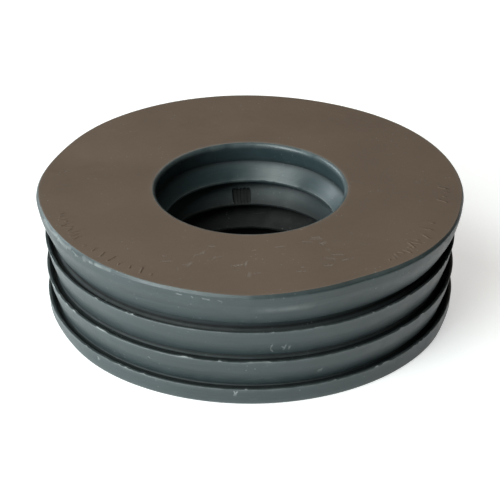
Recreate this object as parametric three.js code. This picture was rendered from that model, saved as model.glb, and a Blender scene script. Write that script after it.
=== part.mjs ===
// Rubber pipe reducer: a round plug that seals a 50 mm waste pipe into a 110 mm soil pipe at the toilet.
// Millimetres, +Z up. The origin is on the axis, at the bottom edge; the flat face is on top.
// The real part is one rubber moulding. Each mesh here is one of its rings, about 0.3 mm clear of the next.
import * as THREE from 'three';

const SEGMENTS = 64;            // facets round every ring
const ARC_STEPS = 4;            // facets over a quarter-round edge
const GAP = 0.3;                // clearance between neighbouring rings

const HEIGHT = 31.6;            // bottom edge to face

// Flange: the disc that covers the end of the 110 mm pipe
const FLANGE_RADIUS = 55.4;
const FLANGE_ROUND = 1.1;       // rounded edge between the face and the rim
const RIM_DEPTH = 4.4;          // the upper part of the rim wall, below the face
const RIM_TAPER = 0.8;          // it leans in by this much
const CONE_DEPTH = 9.3;         // the cone below it ends this far below the face
const CONE_STEP = 0.9;          // the cone's foot stands proud of the skirt
const PLATE = 5.0;              // thickness of the disc

// Skirt: the outer wall below the flange, carrying the outer lips
const SKIRT_RADIUS = 51.3;
const SKIRT_WALL = 3.3;

// Sleeve: the inner wall, carrying the inner lips
const SLEEVE_BORE = 25.8;       // radius
const SLEEVE_WALL = 3.0;
const FILLET = 0.9;             // between the disc and each wall

// Rim of the bore: a rounded bead, undercut below
const MOUTH_RADIUS = 24.3;
const MOUTH_ROUND = 1.1;
const MOUTH_DEPTH = 5.9;

// Outer lips lean up and out, so the pipe's wall folds them shut
const OUTER_LIP_RADIUS = 53.65;
const OUTER_LIP_DEPTHS = [10.9, 19.4, 27.3];
const OUTER_LIP_EDGE = 0.7;     // thickness of the lip's top edge
const OUTER_LIP_GROOVE = 2.7;   // depth of the groove behind the lip
const OUTER_BAND = 3.6;         // the steep upper part of the lip's outside
const OUTER_BAND_TAPER = 0.85;
const LAST_LIP_TAPER = 0.15;    // the lowest lip runs almost straight down to the bottom edge
const OUTER_LIP_HEIGHT = 7.5;   // down to where the lip's outside meets the skirt

// Inner lips lean down and in, the way the 50 mm pipe is pushed
const INNER_LIP_RADIUS = 22.5;
const INNER_LIP_FIRST = 6.2;    // top of the first lip, below the face
const INNER_LIP_PITCH = 7.3;
const INNER_LIP_COUNT = 3;
const INNER_LIP_SLOPE = 4.0;    // fall of the lip's upper surface
const INNER_LIP_EDGE = 0.6;     // height of the lip's tip
const INNER_LIP_ROOT = 3.1;     // height of the lip where it joins the sleeve
const INNER_LIP_GROOVE = 0.7;   // width of the lip's underside at its tip

const skirtBore = SKIRT_RADIUS - SKIRT_WALL;
const sleeveOuter = SLEEVE_BORE + SLEEVE_WALL;
const plateUnderside = HEIGHT - PLATE;

const faceRubber = { color: '#62574b', roughness: 0.45, metalness: 0 };
const wallRubber = { color: '#5a6365', roughness: 0.5, metalness: 0 };
const boreRubber = { color: '#566468', roughness: 0.45, metalness: 0 };

const model = new THREE.Group();

// Points of a quarter-round, from one angle in degrees to another
function quarterRound(centreR, centreZ, radius, fromDegrees, toDegrees) {
  const points = [];
  for (let i = 0; i <= ARC_STEPS; i += 1) {
    const angle = THREE.MathUtils.degToRad(fromDegrees + (toDegrees - fromDegrees) * i / ARC_STEPS);
    points.push([centreR + radius * Math.cos(angle), centreZ + radius * Math.sin(angle)]);
  }
  return points;
}

// A ring from a closed outline of [radius, height] points, anticlockwise
function addRing(name, outline, rubber) {
  const points = [...outline, outline[0]].map(([r, z]) => new THREE.Vector2(r, z));
  const geometry = new THREE.LatheGeometry(points, SEGMENTS);
  geometry.rotateX(Math.PI / 2);
  const mesh = new THREE.Mesh(geometry, new THREE.MeshStandardMaterial(rubber));
  mesh.name = name;
  model.add(mesh);
}

// The disc, its rounded rim, and the cone that joins it to the skirt
function addFaceFlange() {
  const inner = sleeveOuter + GAP;
  const outline = [
    [inner, plateUnderside],
    [skirtBore - FILLET, plateUnderside],
    [skirtBore, plateUnderside - FILLET],
    [skirtBore, HEIGHT - CONE_DEPTH],
    [SKIRT_RADIUS, HEIGHT - CONE_DEPTH],
    [SKIRT_RADIUS + CONE_STEP, HEIGHT - CONE_DEPTH + CONE_STEP / 2],
    [FLANGE_RADIUS - RIM_TAPER, HEIGHT - RIM_DEPTH],
    ...quarterRound(FLANGE_RADIUS - FLANGE_ROUND, HEIGHT - FLANGE_ROUND, FLANGE_ROUND, 0, 90),
    [inner, HEIGHT],
  ];
  addRing('face_flange', outline, faceRubber);
}

// The bead round the mouth of the bore, with its undercut
function addBoreRim() {
  const bottom = HEIGHT - MOUTH_DEPTH;
  const outline = [
    [SLEEVE_BORE, bottom],
    [sleeveOuter, bottom],
    [sleeveOuter, HEIGHT],
    ...quarterRound(MOUTH_RADIUS + MOUTH_ROUND, HEIGHT - MOUTH_ROUND, MOUTH_ROUND, 90, 180),
  ];
  addRing('bore_rim', outline, boreRubber);
}

// A plain tube wall from the bottom edge up to a height
function addWall(name, innerRadius, outerRadius, top, rubber) {
  const outline = [
    [innerRadius, 0],
    [outerRadius, 0],
    [outerRadius, top],
    [innerRadius, top],
  ];
  addRing(name, outline, rubber);
}

// One outer lip; the last one runs down to the bottom edge
function addOuterLip(number, depth) {
  const root = SKIRT_RADIUS + GAP;
  const tip = HEIGHT - depth;
  const reachesBottom = tip < OUTER_LIP_HEIGHT;
  const foot = reachesBottom
    ? [[root, 0], [OUTER_LIP_RADIUS - LAST_LIP_TAPER, 0]]
    : [[root, tip - OUTER_LIP_HEIGHT], [OUTER_LIP_RADIUS - OUTER_BAND_TAPER, tip - OUTER_BAND]];
  const outline = [
    ...foot,
    [OUTER_LIP_RADIUS, tip],
    [OUTER_LIP_RADIUS - OUTER_LIP_EDGE, tip],
    [root, tip - OUTER_LIP_GROOVE],
  ];
  addRing(`outer_lip_${number}`, outline, wallRubber);
}

// One inner lip: a cone that ends in a thin lower edge, hollow below
function addInnerLip(number) {
  const root = SLEEVE_BORE - GAP;
  const top = HEIGHT - INNER_LIP_FIRST - INNER_LIP_PITCH * (number - 1);
  const tipTop = top - INNER_LIP_SLOPE;
  const tipBottom = tipTop - INNER_LIP_EDGE;
  const outline = [
    [root, top],
    [INNER_LIP_RADIUS, tipTop],
    [INNER_LIP_RADIUS, tipBottom],
    [INNER_LIP_RADIUS + INNER_LIP_GROOVE, tipBottom],
    [root, top - INNER_LIP_ROOT],
  ];
  addRing(`inner_lip_${number}`, outline, boreRubber);
}

addFaceFlange();
addBoreRim();
addWall('outer_skirt', skirtBore, SKIRT_RADIUS, HEIGHT - CONE_DEPTH - GAP, wallRubber);
addWall('inner_sleeve', SLEEVE_BORE, sleeveOuter, HEIGHT - MOUTH_DEPTH - GAP, boreRubber);
OUTER_LIP_DEPTHS.forEach((depth, index) => addOuterLip(index + 1, depth));
for (let number = 1; number <= INNER_LIP_COUNT; number += 1) {
  addInnerLip(number);
}

export default model;
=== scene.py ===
# Looks for the rubber pipe reducer. The real part is one rubber moulding, and each piece here is one of
# its rings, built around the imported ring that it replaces. Neighbouring rings meet without a gap, and the
# lips run into their walls through fillets, so that together they look like one moulding.

import math
from collections import namedtuple

import bmesh
import bpy
import numpy as np
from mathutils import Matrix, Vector


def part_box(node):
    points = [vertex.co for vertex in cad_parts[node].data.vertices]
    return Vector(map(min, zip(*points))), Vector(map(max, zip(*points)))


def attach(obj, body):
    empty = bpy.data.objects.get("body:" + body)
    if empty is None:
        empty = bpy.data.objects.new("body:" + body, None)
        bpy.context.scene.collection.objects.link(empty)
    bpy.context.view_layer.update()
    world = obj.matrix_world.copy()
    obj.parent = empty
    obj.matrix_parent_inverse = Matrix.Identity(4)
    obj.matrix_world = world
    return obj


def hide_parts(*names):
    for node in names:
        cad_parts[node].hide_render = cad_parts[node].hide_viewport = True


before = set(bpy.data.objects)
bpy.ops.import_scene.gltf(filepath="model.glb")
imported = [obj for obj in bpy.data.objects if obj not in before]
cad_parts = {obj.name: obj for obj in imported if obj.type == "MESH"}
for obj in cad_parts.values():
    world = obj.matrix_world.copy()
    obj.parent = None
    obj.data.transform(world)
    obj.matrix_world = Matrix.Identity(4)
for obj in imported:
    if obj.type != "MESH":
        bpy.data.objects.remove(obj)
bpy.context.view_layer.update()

MM = 0.001
LIPS = (1, 2, 3)                # counted from the face


def extent(node):
    """Inner radius, outer radius, lowest and highest z of a packed ring."""
    radii = [v.co.xy.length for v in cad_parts[node].data.vertices]
    low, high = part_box(node)
    return min(radii), max(radii), low.z, high.z


_, FLANGE_R, FLANGE_FOOT, TOP = extent("face_flange")
MOUTH_R, SLEEVE_R, MOUTH_FOOT, _ = extent("bore_rim")
SKIRT_BORE, SKIRT_R, BOTTOM, SKIRT_TOP = extent("outer_skirt")
SLEEVE_BORE = extent("inner_sleeve")[0]

# How finely the rings are divided
SEGMENTS = 720                  # round every ring
ARC_STEP = math.radians(15)     # turn between two points of a rounded corner
SIDE_STEP = 1.2 * MM            # most between two points of a straight side
SHARP_ANGLE = math.radians(38)  # edges that turn more than this stay crisp
STRAIGHT = 1e-3                 # a corner that turns less than this isn't rounded

# Flange
FACE_SINK = 0.05 * MM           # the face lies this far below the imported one, besides the dip below
FACE_R = FLANGE_R - 0.6 * MM    # where the flat face ends, if the rim were even
BEVEL = 0.75 * MM               # the rim is widest this far below the face
MOUTH_ROUND = 1.0 * MM
# The rim isn't quite round or even: its radius and its bevel's width in millimetres, at angles in degrees.
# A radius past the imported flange's is cut back to it.
RIM_EDGE = [
    (-170, 55.2), (-160, 54.6), (-150, 54.2), (-140, 54.0), (-125, 53.8), (-110, 53.8), (-100, 54.2),
    (-90, 54.8), (-80, 54.5), (-60, 53.9), (-50, 54.6), (-40, 55.2), (-25, 55.6), (-10, 55.3), (0, 55.6),
    (40, 55.8), (90, 56.0), (150, 55.9), (180, 55.7),
]
BEVEL_WIDTHS = [
    (-170, 0.7), (-120, 0.5), (-95, 0.6), (-75, 1.1), (-55, 1.2), (-35, 0.7), (-10, 0.5), (90, 0.6),
]
FACE_EDGE_ROUND = 0.25 * MM
RIM_ROUND = 0.6 * MM
RIM_DEPTH = 4.4 * MM            # the upper part of the rim wall, below the face
RIM_TAPER = 0.75 * MM           # it leans in by this much
RIM_BEND = 10.0 * MM            # radius between the wall's two parts
RIM_FOOT = 0.9 * MM             # the wall's foot stands this far proud of the skirt
RIM_FOOT_ROUND = 0.15 * MM
RIM_LEDGE = 0.15 * MM           # height of the ledge under it
PLATE = 5.0 * MM                # thickness of the disc
PLATE_FILLET = 0.9 * MM
SEAM_STEP = 0.2 * MM            # the disc meets the bore rim this far inside the sleeve's outer wall

# Walls
RECESS = 0.8 * MM               # the skirt is cut back this far between the rim and the first lip
RECESS_BELOW = 1.2 * MM         # down to this far below the lip's top
RECESS_ROUND = 0.5 * MM
WALL_END_ROUND = 0.5 * MM       # the walls' bottom edges
BEAD = 0.12 * MM                # a fine bead round the skirt, behind each lip
BEAD_TOP = 0.3 * MM             # it stands out most this far below the lip's top
BEAD_END = 0.5 * MM             # and ends this far below

# Outer lips: heights are counted down from the lip's top, widths inwards from its tip
LIP_EDGE = 0.7 * MM             # width of the top edge
LIP_EDGE_ROUND = 0.12 * MM
LIP_GROOVE = 3.0 * MM           # depth of the groove behind the lip
GROOVE_FILLET_FROM = 1.2 * MM   # a fillet joins the skirt to the groove's bottom from this far above it
GROOVE_FILLET = 0.35 * MM
LIP_BAND = 3.6 * MM             # the steep upper part of the lip's outside
LIP_BAND_TAPER = 0.85 * MM
LIP_BAND_ROUND = 1.6 * MM
LIP_HEIGHT = 7.5 * MM           # down to where the lip's outside meets the skirt
LIP_FOOT = 0.25 * MM            # the foot of a lip's outside stands this far proud of the skirt
LIP_FOOT_ROUND = 0.3 * MM
LIP_LEDGE = 0.4 * MM            # height of the slope under the foot
LIP_ROOTED = 0.4 * MM           # how deep a lip runs into its wall
LAST_LIP_TAPER = 0.15 * MM
LAST_LIP_ROUND = 0.3 * MM
LAST_LIP_ROOT = 0.5 * MM        # the lowest lip's bottom runs into the skirt up to this height
GROOVE_SHADE = 0.4 * MM         # painted shade darkens the skirt from this far above a lip's top

# Where a lip meets its wall, its outline passes through the wall's surface from this far outside or inside,
# so that no two surfaces coincide
FLUSH = 0.05 * MM
SUNK = 0.03 * MM                # where a fillet ends

# Inner lips: heights are counted from the lip's highest or lowest point
INNER_TIP = 0.6 * MM            # height of the tip
INNER_TIP_ROUND = 0.15 * MM
INNER_UNDERSIDE = 0.7 * MM      # width of the underside at the tip
INNER_UNDERSIDE_ROUND = 0.2 * MM
INNER_TOP_RISE = 0.1 * MM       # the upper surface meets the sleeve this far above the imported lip
INNER_TOP_ROUND = 0.8 * MM
INNER_TOP_FILLET = 1.0 * MM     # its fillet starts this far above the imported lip
INNER_FOOT = 3.2 * MM           # the underside meets the sleeve this far below the top
INNER_FOOT_ROUND = 0.4 * MM
INNER_FOOT_FILLET = 0.8 * MM    # its fillet ends this far further down

# Irregularities of the moulding, all of them inwards
DIP = 0.2 * MM                  # the front of the face lies lower than its back
# Where the disc has dropped and where the lowest lip is squeezed: angle and spread in degrees, millimetres
SAGS = [(66, 24, 0.32), (160, 14, 0.75)]
PINCHES = [(-155, 15, 0.7), (-18, 9, 0.45)]
PINCH_HEIGHT = 5.0 * MM
OUT_OF_ROUND = 0.05 * MM
OUT_OF_ROUND_WAVES = 9
RAGGED = 0.05 * MM              # waviness of a lip's edge
RAGGED_WAVES = (140, 200)       # across and along the lip
FLASH_HEIGHT = 0.3 * MM         # thin fins left along the lips by the mould
FLASH_WAVES = (70, 360)         # the stretches with fins, and the fins
FLASH_FROM = 0.42               # there are fins where the stretches' noise is above this
FLASH_OVER = 0.3                # and they are at their highest where it is this much higher
FLASH_PALENESS = 0.8                # a fin is painted this pale, partly wear and partly painted highlight
WEAR_AND_HIGHLIGHT_SPREAD = 0.22 * MM         # how far the pale edges, wear and painted highlight, and the painted shade reach from a corner
SHADE_SPREAD = 0.5 * MM
BLOOM_EDGE = 0.03 * MM          # the brown bloom ends this far down the rounded edge

BORE_DARK_FROM = 12.5 * MM      # painted shade: the bore is darkened and roughened from this depth below the face
BORE_DARK_OVER = 6.0 * MM

# Besides its place and rounding, a corner carries how pale the rubber is there, partly from wear and partly
# as painted highlight. It also carries how much painted shade darkens and roughens it, and its fins, lean
# and bevel.
Corner = namedtuple("Corner", "r z round wear shade flash lean bevel", defaults=(0, 0, 0, 0, 0, 0))


# ---------------------------------------------------------------- outlines

def corner_arc(before, corner, after):
    """Points of a corner rounded with an arc, or the corner itself where its radius is 0."""
    at = np.array([corner.r, corner.z])
    back = np.array([before.r, before.z]) - at
    ahead = np.array([after.r, after.z]) - at
    back /= np.linalg.norm(back)
    ahead /= np.linalg.norm(ahead)
    turn = math.pi - math.acos(np.clip(back @ ahead, -1, 1))
    if not corner.round or turn < STRAIGHT:
        return [at]
    reach = corner.round * math.tan(turn / 2)
    inward = (back + ahead) / np.linalg.norm(back + ahead)
    centre = at + inward * corner.round / math.cos(turn / 2)
    steps = max(2, math.ceil(turn / ARC_STEP))
    first, last = at + back * reach - centre, at + ahead * reach - centre
    weights = [
        (math.sin((1 - k / steps) * turn) / math.sin(turn), math.sin(k / steps * turn) / math.sin(turn))
        for k in range(steps + 1)
    ]
    return [centre + a * first + b * last for a, b in weights]


def fade(first, gone, last, left, spread):
    """A value that dies away from both ends of a side."""
    return max(first * math.exp(-gone / spread), last * math.exp(-left / spread))


def outline(corners):
    """Closed outline of a ring: a row of r, z, paleness (partly wear, partly painted highlight), painted
    shade, flash, lean and bevel for each point.
    """
    count = len(corners)
    arcs = [corner_arc(corners[i - 1], corners[i], corners[(i + 1) % count]) for i in range(count)]
    rows = []
    for i, here in enumerate(corners):
        after = corners[(i + 1) % count]
        for k, (r, z) in enumerate(arcs[i]):
            fin = here.flash if 0 < k < len(arcs[i]) - 1 else 0
            rows.append((r, z, here.wear, here.shade, fin, here.lean, here.bevel))
        start, end = arcs[i][-1], arcs[(i + 1) % count][0]
        length = np.linalg.norm(end - start)
        steps = math.ceil(length / SIDE_STEP) + 2
        for k in range(1, steps):
            t = (1 - math.cos(math.pi * k / steps)) / 2
            r, z = start + t * (end - start)
            gone, left = t * length, (1 - t) * length
            wear = fade(here.wear, gone, after.wear, left, WEAR_AND_HIGHLIGHT_SPREAD)
            shade = fade(here.shade, gone, after.shade, left, SHADE_SPREAD)
            lean = (1 - t) * here.lean + t * after.lean
            bevel = (1 - t) * here.bevel + t * after.bevel
            rows.append((r, z, wear, shade, 0, lean, bevel))
    return np.array(rows)


# ---------------------------------------------------------------- rings

def ripple(theta, knots, rng):
    """Smooth noise from 0 to 1 that closes on itself round the ring."""
    values = rng.random(knots)
    place = theta / (2 * math.pi) * knots
    knot = np.floor(place).astype(int)
    t = place - knot
    t = t * t * (3 - 2 * t)
    return values[knot % knots] * (1 - t) + values[(knot + 1) % knots] * t


def fins(theta, rng):
    """Height of the flash round a lip's edge, from 0 to 1: ragged stretches, and nothing between them."""
    stretches, teeth = FLASH_WAVES
    patches = np.clip((ripple(theta, stretches, rng) - FLASH_FROM) / FLASH_OVER, 0, 1)
    return patches * np.clip(3 * ripple(theta, teeth, rng) - 1.5, 0, 1)


def bumps(theta, places):
    """Sum of soft bumps round the ring: each has an angle and a spread in degrees, and a height in
    millimetres."""
    total = np.zeros_like(theta)
    for centre, spread, height in places:
        away = (np.degrees(theta) - centre + 180) % 360 - 180
        total = total + height * MM * np.exp(-((away / spread) ** 2))
    return total


def along_rim(theta, table):
    """A table's value at each angle, in metres."""
    return np.interp(np.degrees(theta), *zip(*table), period=360) * MM


def settle(r, z, theta):
    """The moulding's own unevenness, the same for every ring: a sagging disc that isn't quite round."""
    sag = bumps(theta, SAGS) + DIP * (0.5 - 0.5 * np.sin(theta))
    sag = sag * (r / FLANGE_R) ** 2 * (z / TOP)
    squeeze = OUT_OF_ROUND * ripple(theta, OUT_OF_ROUND_WAVES, np.random.default_rng(4)) * (r / FLANGE_R)
    low = np.clip(1 - z / PINCH_HEIGHT, 0, 1) * np.clip((r - SKIRT_R) / MM, 0, 1)
    return np.minimum(r, FLANGE_R) - squeeze - low * bumps(theta, PINCHES), z - sag


def ring(name, corners, seed):
    """A closed ring turned from an outline. Its attributes are its pale edges (partly wear, partly painted
    highlight), its painted shade in the grooves and the deep bore, and its bloom. A corner that leans
    follows the rim in and out, and one with a bevel also follows the bevel's width."""
    rng = np.random.default_rng(seed)
    points = outline(corners)
    count = len(points)
    theta = np.arange(SEGMENTS)[:, None] * 2 * math.pi / SEGMENTS
    columns = (np.broadcast_to(column, (SEGMENTS, count)) for column in points.T)
    r, z, wear, shade, on_edge, lean, bevel = columns
    r = r + lean * (along_rim(theta, RIM_EDGE) - FLANGE_R)
    r = r - bevel * (along_rim(theta, BEVEL_WIDTHS) - (FLANGE_R - FACE_R))
    # Painted shade: inside the bore the rubber gets darker and rougher with depth.
    depth = np.clip((TOP - BORE_DARK_FROM - z) / BORE_DARK_OVER, 0, 1)
    shade = np.where(r < SLEEVE_R - SEAM_STEP, np.maximum(shade, depth), shade)
    bloom = np.clip(2 - 2 * (TOP - FACE_SINK - z) / BLOOM_EDGE, 0, 1)
    flash = fins(theta, rng)
    r = r - on_edge * RAGGED * ripple(theta, RAGGED_WAVES[0], rng)
    z = z - on_edge * RAGGED * ripple(theta, RAGGED_WAVES[1], rng) + on_edge * FLASH_HEIGHT * flash
    # Fins are painted pale, partly wear and partly painted highlight.
    wear = np.maximum(wear, FLASH_PALENESS * on_edge * flash)
    r, z = settle(r, z, theta)
    place = np.stack([r * np.cos(theta), r * np.sin(theta), z], axis=-1).reshape(-1, 3)

    first = np.arange(SEGMENTS)[:, None] * count
    second = (np.arange(SEGMENTS)[:, None] + 1) % SEGMENTS * count
    here = np.arange(count)[None, :]
    ahead = (here + 1) % count
    quads = np.stack([first + here, first + ahead, second + ahead, second + here], axis=-1).reshape(-1, 4)

    mesh = bpy.data.meshes.new(name)
    mesh.from_pydata(place.tolist(), [], quads.tolist())
    for key, values in (("wear", wear), ("shade", shade), ("bloom", bloom)):
        layer = mesh.attributes.new(key, "FLOAT", "POINT")
        layer.data.foreach_set("value", np.ascontiguousarray(values, np.float32).ravel())
    return mesh


# ---------------------------------------------------------------- raised marks and nicks

def coordinates(mesh):
    """The mesh's vertices as an array."""
    flat = np.empty(len(mesh.vertices) * 3)
    mesh.vertices.foreach_get("co", flat)
    return flat.reshape(-1, 3)


def distance_to(stroke, at):
    """Distance of each 2-D point from a stroke, which is a chain of 2-D points."""
    nearest = np.full(len(at), np.inf)
    for a, b in zip(stroke[:-1], stroke[1:]):
        a, b = np.array(a), np.array(b)
        along = np.clip(((at - a) @ (b - a)) / ((b - a) @ (b - a)), 0, 1)
        nearest = np.minimum(nearest, np.linalg.norm(at - a - along[:, None] * (b - a), axis=1))
    return nearest


def distance_to_any(strokes, at):
    """Distance of each 2-D point from the nearest stroke."""
    return np.min([distance_to(stroke, at) for stroke in strokes], axis=0)


FADE_OUT = 1.5                  # a stroke's effect ends this many widths from its middle line


def emboss(mesh, strokes, flatten, lift, width, height, cuts, paint="wear", amount=0.0, margin=0.5 * MM):
    """Moves the surface by height along the strokes, and adds to one of the mesh's attributes there.
    flatten gives each vertex's place on the surface in 2-D, and lift the direction in which it moves; a
    vertex that flatten puts out of reach stays where it is. The edges close to a stroke are cut first."""
    reach = FADE_OUT * width + margin
    close = distance_to_any(strokes, flatten(coordinates(mesh))) < reach
    bm = bmesh.new()
    bm.from_mesh(mesh)
    bm.verts.ensure_lookup_table()
    edges = [e for e in bm.edges if close[e.verts[0].index] and close[e.verts[1].index]]
    bmesh.ops.subdivide_edges(bm, edges=edges, cuts=cuts, use_grid_fill=True)
    bm.to_mesh(mesh)
    bm.free()
    place = coordinates(mesh)
    press = np.clip(FADE_OUT - distance_to_any(strokes, flatten(place)) / width, 0, 1)
    press = press * press * (3 - 2 * press)
    mesh.vertices.foreach_set("co", (place + lift(place) * height * press[:, None]).ravel())
    layer = mesh.attributes[paint]
    values = np.empty(len(mesh.vertices), np.float32)
    layer.data.foreach_get("value", values)
    layer.data.foreach_set("value", np.clip(values + amount * press, 0, 1).astype(np.float32))


FAR = 1.0                       # a place out of every stroke's reach
FACE_LAYER = 1.0 * MM           # the face's vertices lie less than this below the top
OUTSIDE_LAYER = 0.1 * MM        # those of the outer walls lie less than this inside the skirt's surface


def on_face(place):
    """x and y of the vertices on the flat face."""
    level = place[:, 2] > TOP - FACE_LAYER
    return np.where(level[:, None], place[:, :2], FAR)


def unrolled(place, radius):
    """Distance round a wall of this radius and height, for each vertex."""
    return np.stack([np.arctan2(place[:, 1], place[:, 0]) * radius, place[:, 2]], axis=-1)


def on_outside(place):
    """Distance round the skirt and height of the vertices on the outer walls."""
    outside = np.hypot(place[:, 0], place[:, 1]) > SKIRT_R - OUTSIDE_LAYER
    return np.where(outside[:, None], unrolled(place, SKIRT_R), FAR)


def on_inside(place):
    """Distance round the sleeve and height of the vertices that face the bore."""
    inside = np.hypot(place[:, 0], place[:, 1]) < SLEEVE_BORE
    return np.where(inside[:, None], unrolled(place, SLEEVE_BORE), FAR)


def upwards(place):
    return np.array([[0.0, 0.0, 1.0]])


def outwards(place):
    direction = place * [1, 1, 0]
    return direction / np.linalg.norm(direction, axis=1)[:, None]


def polar(radius, degrees):
    """x and y of a point at this distance and angle from the axis."""
    angle = math.radians(degrees)
    return radius * math.cos(angle), radius * math.sin(angle)


# Groups of plain ticks and dots near the rim: first and last angle in degrees, and how many marks
MARK_GROUPS = [(-163, -148, 10), (-143, -118, 8), (-48, -34, 9), (-31, -23, 3), (-9, -1, 4)]
MARK_RADIUS = 50.4 * MM
MARK_SCATTER = 0.6 * MM         # most that a mark lies off that radius
MARK_TURNS = [-25, 0, 20]       # degrees between a mark and the radius
TICK = 2.4 * MM
TICK_SHARES = [0.1, 0.4, 0.8, 1.0]      # lengths of the marks, as shares of a whole tick
MARK_WIDTH = 0.24 * MM
MARK_HEIGHT = 0.12 * MM
MARK_MARGIN = 0.8 * MM


def face_marks():
    """Short ticks and dots, in place of moulded lettering."""
    rng = np.random.default_rng(11)
    strokes = []
    for first, last, count in MARK_GROUPS:
        for angle in np.linspace(first, last, count):
            middle = Vector(polar(MARK_RADIUS + rng.uniform(-1, 1) * MARK_SCATTER, angle))
            direction = Vector(polar(1, angle + rng.choice(MARK_TURNS)))
            half = direction * TICK / 2 * rng.choice(TICK_SHARES)
            strokes.append([middle - half, middle + half])
    return strokes


# Damage on the outside: where each mark runs, as (degrees round the part, millimetres above the bottom edge)
RIM_CHIPS = [
    [(-152.0, 30.2), (-150.2, 29.8)],
    [(-147.4, 30.4), (-146.9, 30.1)],
    [(-143.8, 30.6), (-141.6, 29.9)],
    [(-139.2, 30.2), (-138.2, 30.1)],
    [(-136.5, 30.6), (-136.1, 30.3)],
    [(-109.0, 30.0), (-107.6, 29.9)],
    [(-104.9, 29.9), (-104.6, 29.7)],
    [(-102.0, 29.8), (-100.2, 29.6)],
    [(-98.0, 29.7), (-97.0, 29.5)],
    [(2.2, 30.6), (3.4, 30.3)],
]
# Pale scuffs on the bevel on the left, which faces the lights: partly wear and partly painted highlight.
RIM_SCUFFS = [
    [(-162.0, 30.8), (-156.0, 30.6), (-152.5, 30.8)],
    [(-151.6, 30.7), (-148.0, 30.5), (-145.0, 30.8)],
    [(-150.0, 30.2), (-147.0, 30.0)],
    [(-139.0, 30.8), (-135.5, 30.6)],
    [(-134.2, 30.7), (-129.0, 30.8)],
]
# A raised mould line painted pale: partly the line itself and partly painted highlight.
MOULD_LINE = [[(-90.0, 27.2), (-75.0, 27.0), (-60.0, 26.6)]]
LIP_NICKS = {
    1: [
        [(-84.2, 16.4), (-84.6, 15.6), (-84.5, 14.7), (-84.0, 14.1)],
        [(-81.6, 15.6), (-81.0, 15.2)],
        [(-80.6, 15.9), (-80.9, 14.9)],
        [(-79.8, 15.3), (-79.5, 15.0)],
    ],
    2: [[(-118.0, 9.4), (-117.2, 9.1)], [(-71.5, 7.6), (-70.6, 7.5)]],
    3: [[(-135.4, 3.4), (-134.6, 2.9)], [(-94.2, 3.8), (-93.8, 3.0), (-93.3, 3.7)]],
}
CHIP_WIDTH = 0.13 * MM          # of a chip or nick
CHIP_DEPTH = 0.09 * MM
SCUFF_WIDTH = 0.35 * MM
SCUFF_DEPTH = 0.03 * MM
MOULD_LINE_WIDTH = 0.1 * MM
MOULD_LINE_HEIGHT = 0.03 * MM

# Fine scratches on the front of the face
SCRATCH_COUNT = 26
SCRATCH_RADII = (31, 46)        # millimetres from the axis
SCRATCH_ANGLES = (-125, -55)    # degrees
SCRATCH_TURN = (8, 14)          # their direction in degrees: mean and spread
SCRATCH_HALVES = (0.2, 1.6)     # half their length, in millimetres
SCRATCH_WIDTH = 0.12 * MM
SCRATCH_DEPTH = 0.05 * MM
SCRATCH_MARGIN = 1.1 * MM

# The shallow square notch in the second inner lip, cut by strokes side by side
NOTCH_ANGLES = (91.0, 93.2, 95.4, 97.6, 99.8)
NOTCH_SPAN = (0.28, 0.72)       # shares of that lip's height
NOTCH_WIDTH = 0.6 * MM
NOTCH_DEPTH = 0.6 * MM


def wrapped(chains):
    """Strokes given in degrees and millimetres, as distances round the skirt and heights in metres."""
    return [[(math.radians(angle) * SKIRT_R, height * MM) for angle, height in chain] for chain in chains]


def scratch_lines():
    """Fine scratches on the front of the face."""
    rng = np.random.default_rng(12)
    strokes = []
    for _ in range(SCRATCH_COUNT):
        middle = Vector(polar(rng.uniform(*SCRATCH_RADII) * MM, rng.uniform(*SCRATCH_ANGLES)))
        direction = Vector(polar(1, rng.normal(*SCRATCH_TURN)))
        half = direction * rng.uniform(*SCRATCH_HALVES) * MM
        strokes.append([middle - half, middle + half])
    return strokes


def finish_mesh(name, mesh, node, material):
    """Makes the mesh the visible piece that stands for a packed ring."""
    mesh.shade_smooth()
    mesh.set_sharp_from_angle(angle=SHARP_ANGLE)
    mesh.materials.append(material)
    piece = bpy.data.objects.new(name, mesh)
    bpy.context.scene.collection.objects.link(piece)
    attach(piece, "root")
    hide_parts(node)


# ---------------------------------------------------------------- the rings of the moulding

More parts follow.
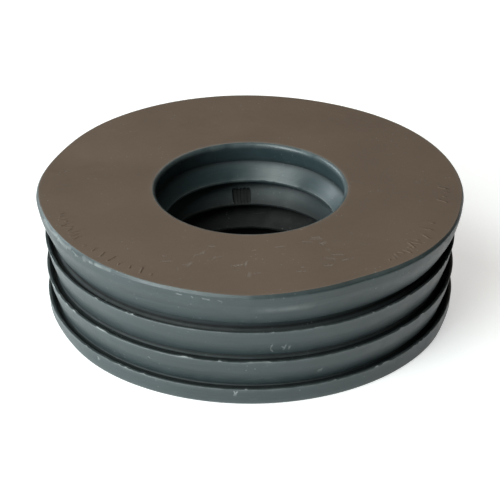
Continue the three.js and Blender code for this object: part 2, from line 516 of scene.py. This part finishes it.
def face_flange(material):
    """The disc with its rounded rim and the cone under it. Its inside runs down to the bore rim and the
    skirt."""
    face = TOP - FACE_SINK
    seam = SLEEVE_R - SEAM_STEP
    # Painted shade darkens the recess under the rim and the fillets under the disc. The face's edge is a
    # little paler, partly wear and partly painted highlight.
    mesh = ring("face_flange_rubber", [
        Corner(seam, face),
        Corner(FACE_R, face, FACE_EDGE_ROUND, wear=0.1, lean=1, bevel=1),
        Corner(FLANGE_R, TOP - BEVEL, RIM_ROUND, lean=1),
        Corner(FLANGE_R - RIM_TAPER, TOP - RIM_DEPTH, RIM_BEND, lean=0.8),
        Corner(SKIRT_R + RIM_FOOT, FLANGE_FOOT + RIM_LEDGE, RIM_FOOT_ROUND, lean=0.3),
        Corner(SKIRT_R - RECESS, FLANGE_FOOT, shade=1),
        Corner(SKIRT_R - RECESS, SKIRT_TOP, shade=1),
        Corner(SKIRT_BORE, SKIRT_TOP),
        Corner(SKIRT_BORE, TOP - PLATE, PLATE_FILLET, shade=0.6),
        Corner(SLEEVE_R, TOP - PLATE, PLATE_FILLET, shade=0.6),
        Corner(SLEEVE_R, MOUTH_FOOT),
        Corner(seam, MOUTH_FOOT),
    ], seed=21)
    emboss(mesh, face_marks(), on_face, upwards, MARK_WIDTH, MARK_HEIGHT, cuts=5, margin=MARK_MARGIN)
    emboss(mesh, scratch_lines(), on_face, upwards, SCRATCH_WIDTH, -SCRATCH_DEPTH, cuts=4, amount=0.35,
           margin=SCRATCH_MARGIN)
    emboss(mesh, wrapped(RIM_CHIPS), on_outside, outwards, CHIP_WIDTH, -CHIP_DEPTH, cuts=3, amount=0.5)
    emboss(mesh, wrapped(RIM_SCUFFS), on_outside, outwards, SCUFF_WIDTH, -SCUFF_DEPTH, cuts=1, amount=0.5)
    emboss(mesh, wrapped(MOULD_LINE), on_outside, outwards, MOULD_LINE_WIDTH, MOULD_LINE_HEIGHT, cuts=3,
           amount=0.25)
    finish_mesh("face_flange_rubber", mesh, "face_flange", material)


def bore_rim(material):
    """The rounded bead round the mouth, undercut below."""
    face = TOP - FACE_SINK
    seam = SLEEVE_R - SEAM_STEP
    mesh = ring("bore_rim_rubber", [
        # Painted highlight: the mouth's rounded edge is made paler all round. Painted shade darkens the
        # corner where the undercut meets the sleeve.
        Corner(MOUTH_R, face, MOUTH_ROUND, wear=0.15),
        Corner(seam, face),
        Corner(seam, MOUTH_FOOT),
        Corner(SLEEVE_BORE, MOUTH_FOOT, shade=0.8),
    ], seed=22)
    finish_mesh("bore_rim_rubber", mesh, "bore_rim", material)


def outer_skirt(material):
    """The wall that carries the outer lips, with a fine bead in the mouth of each groove. Painted shade
    darkens the recess and each groove. Each bead is a little paler, partly wear and partly painted
    highlight.
    """
    first_groove = extent("outer_lip_1")[3] - RECESS_BELOW
    beads = []
    for lip in LIPS[1:]:
        height = extent(f"outer_lip_{lip}")[3]
        beads += [
            Corner(SKIRT_R, height + GROOVE_SHADE, shade=1),
            Corner(SKIRT_R + BEAD, height - BEAD_TOP, shade=0.7, wear=0.2),
            Corner(SKIRT_R, height - BEAD_END, shade=1),
            Corner(SKIRT_R, height - LIP_GROOVE, shade=1),
        ]
    mesh = ring("outer_skirt_rubber", [
        Corner(SKIRT_BORE, SKIRT_TOP),
        Corner(SKIRT_R - RECESS, SKIRT_TOP, shade=1),
        Corner(SKIRT_R - RECESS, first_groove + RECESS, RECESS_ROUND, shade=1),
        Corner(SKIRT_R, first_groove, shade=1),
        *beads,
        Corner(SKIRT_R, BOTTOM),
        Corner(SKIRT_BORE, BOTTOM, WALL_END_ROUND, wear=0.3),
    ], seed=23)
    finish_mesh("outer_skirt_rubber", mesh, "outer_skirt", material)


def inner_sleeve(material):
    """The wall that carries the inner lips."""
    # Painted shade darkens the sleeve under the mouth and at the bore's bottom edge. The bottom edges are a
    # little paler.
    mesh = ring("inner_sleeve_rubber", [
        Corner(SLEEVE_BORE, MOUTH_FOOT, shade=0.8),
        Corner(SLEEVE_R, MOUTH_FOOT, shade=0.6),
        Corner(SLEEVE_R, BOTTOM, WALL_END_ROUND, wear=0.3),
        Corner(SLEEVE_BORE, BOTTOM, WALL_END_ROUND, wear=0.3, shade=0.4),
    ], seed=24)
    finish_mesh("inner_sleeve_rubber", mesh, "inner_sleeve", material)


def outer_lip(number, material):
    """A barbed lip that leans up and out from the skirt, with a sharp groove behind it."""
    node = f"outer_lip_{number}"
    _, tip, foot, top = extent(node)
    rooted = SKIRT_R - LIP_ROOTED
    groove = top - LIP_GROOVE
    # Painted shade darkens the groove behind the lip and the inner side of its top edge. The top edge is
    # paler, partly wear and partly painted highlight.
    corners = [
        Corner(rooted, groove + GROOVE_FILLET_FROM, shade=1),
        Corner(SKIRT_R - SUNK, groove + GROOVE_FILLET_FROM, shade=1),
        Corner(SKIRT_R + FLUSH, groove, GROOVE_FILLET, shade=1),
        Corner(tip - LIP_EDGE, top, LIP_EDGE_ROUND, wear=0.2, shade=0.7, flash=0.6),
        Corner(tip, top, LIP_EDGE_ROUND, wear=0.22, flash=1),
    ]
    reaches_bottom = foot < BOTTOM + LAST_LIP_ROOT
    if reaches_bottom:
        corners += [
            Corner(tip - LAST_LIP_TAPER, BOTTOM, LAST_LIP_ROUND, wear=0.2),
            Corner(SKIRT_R, BOTTOM),
            Corner(SKIRT_R, BOTTOM + LAST_LIP_ROOT),
            Corner(rooted, BOTTOM + LAST_LIP_ROOT),
        ]
    else:
        end = top - LIP_HEIGHT
        corners += [
            Corner(tip - LIP_BAND_TAPER, top - LIP_BAND, LIP_BAND_ROUND),
            Corner(SKIRT_R + LIP_FOOT, end, LIP_FOOT_ROUND),
            Corner(SKIRT_R - FLUSH, end - LIP_LEDGE, shade=1),
            Corner(rooted, end - LIP_LEDGE),
        ]
    mesh = ring(f"{node}_rubber", corners, seed=30 + number)
    nicks = wrapped(LIP_NICKS[number])
    emboss(mesh, nicks, on_outside, outwards, CHIP_WIDTH, -CHIP_DEPTH, cuts=3, amount=0.7)
    finish_mesh(f"{node}_rubber", mesh, node, material)


def inner_lip(number, material):
    """A lip that leans down and in from the sleeve."""
    node = f"inner_lip_{number}"
    tip, _, low, top = extent(node)
    rooted = SLEEVE_BORE + LIP_ROOTED
    underside = top - INNER_FOOT
    # Painted shade darkens the fillets where the lip meets the sleeve, and its underside. The tip is paler,
    # partly wear and partly painted highlight.
    mesh = ring(f"{node}_rubber", [
        Corner(tip, low + INNER_TIP, INNER_TIP_ROUND, wear=0.3, flash=0.5),
        Corner(SLEEVE_BORE - FLUSH, top + INNER_TOP_RISE, INNER_TOP_ROUND, shade=0.6),
        Corner(SLEEVE_BORE + FLUSH, top + INNER_TOP_FILLET, shade=0.8),
        Corner(rooted, top + INNER_TOP_FILLET, shade=0.8),
        Corner(rooted, underside - INNER_FOOT_FILLET, shade=1),
        Corner(SLEEVE_BORE + SUNK, underside - INNER_FOOT_FILLET, shade=1),
        Corner(SLEEVE_BORE - FLUSH, underside, INNER_FOOT_ROUND, shade=1),
        Corner(tip + INNER_UNDERSIDE, low, INNER_UNDERSIDE_ROUND, shade=0.5),
        Corner(tip, low, INNER_TIP_ROUND, wear=0.2),
    ], seed=40 + number)
    if number == 2:
        # The notch is cut in and darkened with painted shade.
        notch = [
            [(math.radians(angle) * SLEEVE_BORE, low + share * (top - low)) for share in NOTCH_SPAN]
            for angle in NOTCH_ANGLES
        ]
        emboss(mesh, notch, on_inside, outwards, NOTCH_WIDTH, NOTCH_DEPTH, cuts=3, paint="shade", amount=1.0)
    finish_mesh(f"{node}_rubber", mesh, node, material)


# ---------------------------------------------------------------- materials

def add(tree, kind, inputs=None, **settings):
    """Adds a node. An input is a number, a colour or another node's output."""
    made = tree.nodes.new(kind)
    for key, value in settings.items():
        setattr(made, key, value)
    for key, value in (inputs or {}).items():
        if isinstance(value, bpy.types.NodeSocket):
            tree.links.new(value, made.inputs[key])
        else:
            made.inputs[key].default_value = value
    return made


def math_node(tree, operation, a, b=0.0, clamp=False):
    return add(tree, "ShaderNodeMath", {0: a, 1: b}, operation=operation, use_clamp=clamp).outputs[0]


def attribute(tree, name):
    return add(tree, "ShaderNodeAttribute", attribute_name=name).outputs["Fac"]


def noise(tree, vector, scale, detail=3.0, roughness=0.5):
    inputs = {"Vector": vector, "Scale": scale, "Detail": detail, "Roughness": roughness}
    return add(tree, "ShaderNodeTexNoise", inputs).outputs["Fac"]


def ramp(tree, value, low, high, to_low=0.0, to_high=1.0):
    """Maps low..high to to_low..to_high and stops at both ends."""
    inputs = {"Value": value, "From Min": low, "From Max": high, "To Min": to_low, "To Max": to_high}
    return add(tree, "ShaderNodeMapRange", inputs, clamp=True).outputs["Result"]


def mix(tree, amount, a, b):
    return add(tree, "ShaderNodeMixRGB", {"Fac": amount, "Color1": a, "Color2": b}).outputs["Color"]


def vector_math(tree, operation, a, b=None):
    inputs = {0: a} if b is None else {0: a, 1: b}
    return add(tree, "ShaderNodeVectorMath", inputs, operation=operation)


def round_the_ring(tree, place, turns, fineness):
    """Coordinates that change slowly round the ring and fast across it, for marks that run round it."""
    flat = vector_math(tree, "MULTIPLY", place, (1, 1, 0)).outputs["Vector"]
    radius = vector_math(tree, "LENGTH", flat).outputs["Value"]
    around = vector_math(tree, "NORMALIZE", flat).outputs["Vector"]
    direction = add(tree, "ShaderNodeSeparateXYZ", {0: around})
    height = add(tree, "ShaderNodeSeparateXYZ", {0: place}).outputs["Z"]
    across = math_node(tree, "MULTIPLY", math_node(tree, "ADD", radius, height), fineness)
    x = math_node(tree, "MULTIPLY", direction.outputs["X"], turns)
    y = math_node(tree, "MULTIPLY", direction.outputs["Y"], turns)
    return add(tree, "ShaderNodeCombineXYZ", {0: x, 1: y, 2: across}).outputs["Vector"]


def scratches(tree, place, degrees, length, thickness):
    """Fine straight lines in one direction, from 0 to 1."""
    turned = add(tree, "ShaderNodeMapping", {
        "Vector": place,
        "Rotation": (0, 0, math.radians(degrees)),
        "Scale": (1 / length, 1 / thickness, 1 / length),
    }).outputs["Vector"]
    return ramp(tree, noise(tree, turned, 1.0, detail=1.0), 0.70, 0.78)


WALL_COLOUR = (0.027, 0.039, 0.041, 1)
FACE_COLOUR = (0.090, 0.058, 0.038, 1)
# The bore's own copy of the wall rubber, lighter and bluer to suit the light inside the bore: painted light.
BORE_LIT_COLOUR = (0.030, 0.047, 0.052, 1)
WORN_AND_HIGHLIGHT_COLOUR = (0.34, 0.36, 0.35, 1)
WALL_ROUGHNESS = 0.45
FACE_ROUGHNESS = 0.53
BORE_ROUGHNESS = 0.36
SHADED_ROUGHER = 0.4            # added where shade is painted
WALL_SHADED = 0.06              # brightness under full painted shade
BORE_SHADED = 0.04
SPECULAR = 0.6
IOR = 1.5
BUMP_STRENGTH = 0.35
BUMP_DISTANCE = 0.06 * MM

# Scales of the patterns, in waves for each metre
CLOUD_SCALE = 45
MOTTLE_SCALE = 260
GRAIN_SCALE = 3200
DUST_SCALE = 90
SPECK_SCALE = 620
SCUFF_SCALE = 60
STREAK_SCALE = 1800             # across the streaks
STREAK_TURNS = 5                # along them, for each unit of direction
WALL_STREAKS = 0.5              # strength of the streaks
FACE_STREAKS = 0.06
HAIRLINES = ((12, 9 * MM, 0.12 * MM), (-35, 6 * MM, 0.1 * MM))     # degrees, length and thickness
SPECK_PALENESS = 0.22
HAIRLINE_PALENESS = 0.12
GRAIN_RELIEF, MOTTLE_RELIEF, SPECK_RELIEF, HAIRLINE_RELIEF = 0.25, 0.8, 0.5, -0.3


def ring_streaks(tree, place, bloom):
    """Streaks that run round the ring, about 0. They are strong on the walls and faint on the face."""
    lines = noise(tree, round_the_ring(tree, place, STREAK_TURNS, STREAK_SCALE), 1.0, detail=3)
    strength = ramp(tree, bloom, 0, 1, WALL_STREAKS, FACE_STREAKS)
    return math_node(tree, "MULTIPLY", math_node(tree, "SUBTRACT", lines, 0.5), strength)


def dust_specks(tree, place):
    """Tiny pale specks in dusty patches, from 0 to 1."""
    dusty = ramp(tree, noise(tree, place, DUST_SCALE), 0.5, 0.62)
    cells = add(tree, "ShaderNodeTexVoronoi", {"Vector": place, "Scale": SPECK_SCALE, "Randomness": 1.0})
    return math_node(tree, "MULTIPLY", ramp(tree, cells.outputs["Distance"], 0.16, 0.08), dusty)


def hairline_scratches(tree, place):
    """Hairline scratches in two directions, in scuffed patches, from 0 to 1."""
    one_way, other_way = (scratches(tree, place, *hairline) for hairline in HAIRLINES)
    fine = math_node(tree, "ADD", one_way, other_way, clamp=True)
    return math_node(tree, "MULTIPLY", fine, ramp(tree, noise(tree, place, SCUFF_SCALE), 0.5, 0.7))


def toned(tree, colour, place, mottle, streaks, shade, shaded):
    """The colour made cloudy, mottled and streaked, and darkened by the painted shade."""
    cloudy = noise(tree, place, CLOUD_SCALE, detail=4)
    tone = ramp(tree, cloudy, 0.3, 0.7, 0.92, 1.08)
    tone = math_node(tree, "MULTIPLY", tone, ramp(tree, mottle, 0.3, 0.7, 0.93, 1.07))
    tone = math_node(tree, "MULTIPLY", tone, math_node(tree, "ADD", streaks, 1.0))
    tone = math_node(tree, "MULTIPLY", tone, ramp(tree, shade, 0, 1, 1, shaded))
    scaled = vector_math(tree, "SCALE", colour)
    tree.links.new(tone, scaled.inputs["Scale"])
    return scaled.outputs["Vector"]


def worn_and_highlighted(tree, colour, wear, mottle, shade, specks, hairlines):
    """The colour with pale edges, partly wear and partly painted highlight, which fade where shade is
    painted, and with specks and hairline scratches.
    """
    edges = math_node(tree, "MULTIPLY", wear, ramp(tree, mottle, 0.35, 0.65, 0.25, 0.8), clamp=True)
    edges = math_node(tree, "MULTIPLY", edges, ramp(tree, shade, 0, 1, 1, 0.1))
    colour = mix(tree, edges, colour, WORN_AND_HIGHLIGHT_COLOUR)
    pale_specks = math_node(tree, "MULTIPLY", specks, SPECK_PALENESS)
    pale_hairlines = math_node(tree, "MULTIPLY", hairlines, HAIRLINE_PALENESS)
    return mix(tree, math_node(tree, "ADD", pale_specks, pale_hairlines, clamp=True), colour, WORN_AND_HIGHLIGHT_COLOUR)


def relief(tree, place, mottle, streaks, specks, hairlines):
    """Normals of the grain and of the marks."""
    grain = noise(tree, place, GRAIN_SCALE, detail=2)
    height = streaks
    for pattern, weight in (
        (grain, GRAIN_RELIEF), (mottle, MOTTLE_RELIEF), (specks, SPECK_RELIEF), (hairlines, HAIRLINE_RELIEF),
    ):
        height = math_node(tree, "ADD", height, math_node(tree, "MULTIPLY", pattern, weight))
    bump = add(tree, "ShaderNodeBump", {
        "Height": height,
        "Strength": BUMP_STRENGTH,
        "Distance": BUMP_DISTANCE,
    })
    return bump.outputs["Normal"]


def rubber(name, wall, roughness, shaded):
    """Dark moulded rubber: mottled, with a brown bloom on the face, painted shade in the grooves and the
    deep bore, where it is also rougher, pale edges that are partly wear and partly painted highlight,
    specks, streaks that run round it, scratches and a fine grain."""
    material = bpy.data.materials.new(name)
    material.use_nodes = True
    tree = material.node_tree
    tree.nodes.clear()
    place = add(tree, "ShaderNodeTexCoord").outputs["Object"]
    wear, shade, bloom = (attribute(tree, key) for key in ("wear", "shade", "bloom"))
    mottle = noise(tree, place, MOTTLE_SCALE, detail=5, roughness=0.6)
    streaks = ring_streaks(tree, place, bloom)
    specks = dust_specks(tree, place)
    hairlines = hairline_scratches(tree, place)

    colour = toned(tree, mix(tree, bloom, wall, FACE_COLOUR), place, mottle, streaks, shade, shaded)
    colour = worn_and_highlighted(tree, colour, wear, mottle, shade, specks, hairlines)
    gloss = math_node(tree, "ADD", ramp(tree, bloom, 0, 1, roughness, FACE_ROUGHNESS),
                      ramp(tree, mottle, 0.3, 0.7, -0.06, 0.08))
    rougher = math_node(tree, "MULTIPLY", shade, SHADED_ROUGHER)
    shader = add(tree, "ShaderNodeBsdfPrincipled", {
        "Base Color": colour,
        "Roughness": math_node(tree, "ADD", gloss, rougher, clamp=True),
        "Normal": relief(tree, place, mottle, streaks, specks, hairlines),
        "IOR": IOR,
        "Specular IOR Level": SPECULAR,
    })
    output = add(tree, "ShaderNodeOutputMaterial")
    tree.links.new(shader.outputs["BSDF"], output.inputs["Surface"])
    return material


# ---------------------------------------------------------------- studio

CAMERA_DISTANCE = 0.475         # from the middle of the face
CAMERA_ELEVATION = math.radians(28.13)
CAMERA_PITCH = math.radians(30.14)
CAMERA_LENS = 131.5             # on the sensor below, in millimetres
CAMERA_SENSOR = 36

FLOOR_HALF = 3.0
FLOOR_GAP = 0.05 * MM           # between the floor and the part
FLOOR_COLOUR = (0.75, 0.75, 0.75, 1)
FLOOR_GLOW = 0.52
PAINTED_BORE_SHADOW_COLOUR = (0.04, 0.04, 0.04, 1)       # painted shadow: the floor under the bore is dark and doesn't glow

# Soft square lights: azimuth counted from +X towards +Y and elevation in degrees, size, power and colour
LIGHT_DISTANCE = 1.1
LIGHTS = {
    "key": (230, 50, 0.7, 7.8, (0.92, 1.0, 0.95)),
    "low": (222, 14, 0.7, 15.5, (0.88, 0.97, 1.0)),
    "side": (150, 24, 0.6, 6.5, (0.85, 0.96, 1.0)),
    "back": (90, 50, 0.7, 2.5, (1.0, 0.86, 0.74)),
}
SKY_COLOUR = (1.0, 0.93, 0.84, 1)
SKY_STRENGTH = 0.025


def floor_material():
    material = bpy.data.materials.new("studio_floor")
    material.use_nodes = True
    tree = material.node_tree
    shader = tree.nodes["Principled BSDF"]
    place = add(tree, "ShaderNodeTexCoord").outputs["Object"]
    # Painted shadow: under the bore the floor is made dark and stops glowing.
    in_bore = ramp(tree, vector_math(tree, "LENGTH", place).outputs["Value"], SLEEVE_BORE, SLEEVE_R, 1, 0)
    tree.links.new(mix(tree, in_bore, FLOOR_COLOUR, PAINTED_BORE_SHADOW_COLOUR), shader.inputs["Base Color"])
    tree.links.new(ramp(tree, in_bore, 0, 1, FLOOR_GLOW, 0), shader.inputs["Emission Strength"])
    shader.inputs["Roughness"].default_value = 0.9
    shader.inputs["Specular IOR Level"].default_value = 0.1
    shader.inputs["Emission Color"].default_value = (1, 1, 1, 1)
    return material


def floor():
    """A pale floor at the part's lowest point, with a painted shadow under the bore."""
    mesh = bpy.data.meshes.new("floor")
    corners = [(x * FLOOR_HALF, y * FLOOR_HALF, 0) for x, y in ((-1, -1), (1, -1), (1, 1), (-1, 1))]
    mesh.from_pydata(corners, [], [(0, 1, 2, 3)])
    mesh.materials.append(floor_material())
    made = bpy.data.objects.new("floor", mesh)
    made.location.z = BOTTOM - FLOOR_GAP
    bpy.context.scene.collection.objects.link(made)


def area_light(name, azimuth, elevation, size, power, colour):
    """A square soft light that faces the part."""
    light = bpy.data.lights.new(name, "AREA")
    light.size = size
    light.energy = power
    light.color = colour
    a, e = math.radians(azimuth), math.radians(elevation)
    away = Vector((math.cos(a) * math.cos(e), math.sin(a) * math.cos(e), math.sin(e)))
    made = bpy.data.objects.new(name, light)
    made.location = away * LIGHT_DISTANCE
    made.rotation_euler = (-away).to_track_quat("-Z", "Y").to_euler()
    bpy.context.scene.collection.objects.link(made)


def studio():
    floor()
    for name, settings in LIGHTS.items():
        area_light(name, *settings)
    world = bpy.data.worlds.new("studio")
    world.use_nodes = True
    sky = world.node_tree.nodes["Background"]
    sky.inputs["Color"].default_value = SKY_COLOUR
    sky.inputs["Strength"].default_value = SKY_STRENGTH
    bpy.context.scene.world = world
    bpy.context.scene.view_settings.view_transform = "Standard"


def camera():
    lens = bpy.data.cameras.new("camera")
    lens.lens = CAMERA_LENS
    lens.sensor_width = CAMERA_SENSOR
    made = bpy.data.objects.new("camera", lens)
    made.location = (
        0,
        -CAMERA_DISTANCE * math.cos(CAMERA_ELEVATION),
        TOP + CAMERA_DISTANCE * math.sin(CAMERA_ELEVATION),
    )
    made.rotation_euler = (math.pi / 2 - CAMERA_PITCH, 0, 0)
    bpy.context.scene.collection.objects.link(made)
    bpy.context.scene.camera = made


camera()
studio()

face_rubber = rubber("face_rubber", WALL_COLOUR, WALL_ROUGHNESS, WALL_SHADED)
wall_rubber = rubber("wall_rubber", WALL_COLOUR, WALL_ROUGHNESS, WALL_SHADED)
bore_rubber = rubber("bore_rubber", BORE_LIT_COLOUR, BORE_ROUGHNESS, BORE_SHADED)

face_flange(face_rubber)
bore_rim(bore_rubber)
outer_skirt(wall_rubber)
inner_sleeve(bore_rubber)
for lip in LIPS:
    outer_lip(lip, wall_rubber)
    inner_lip(lip, bore_rubber)
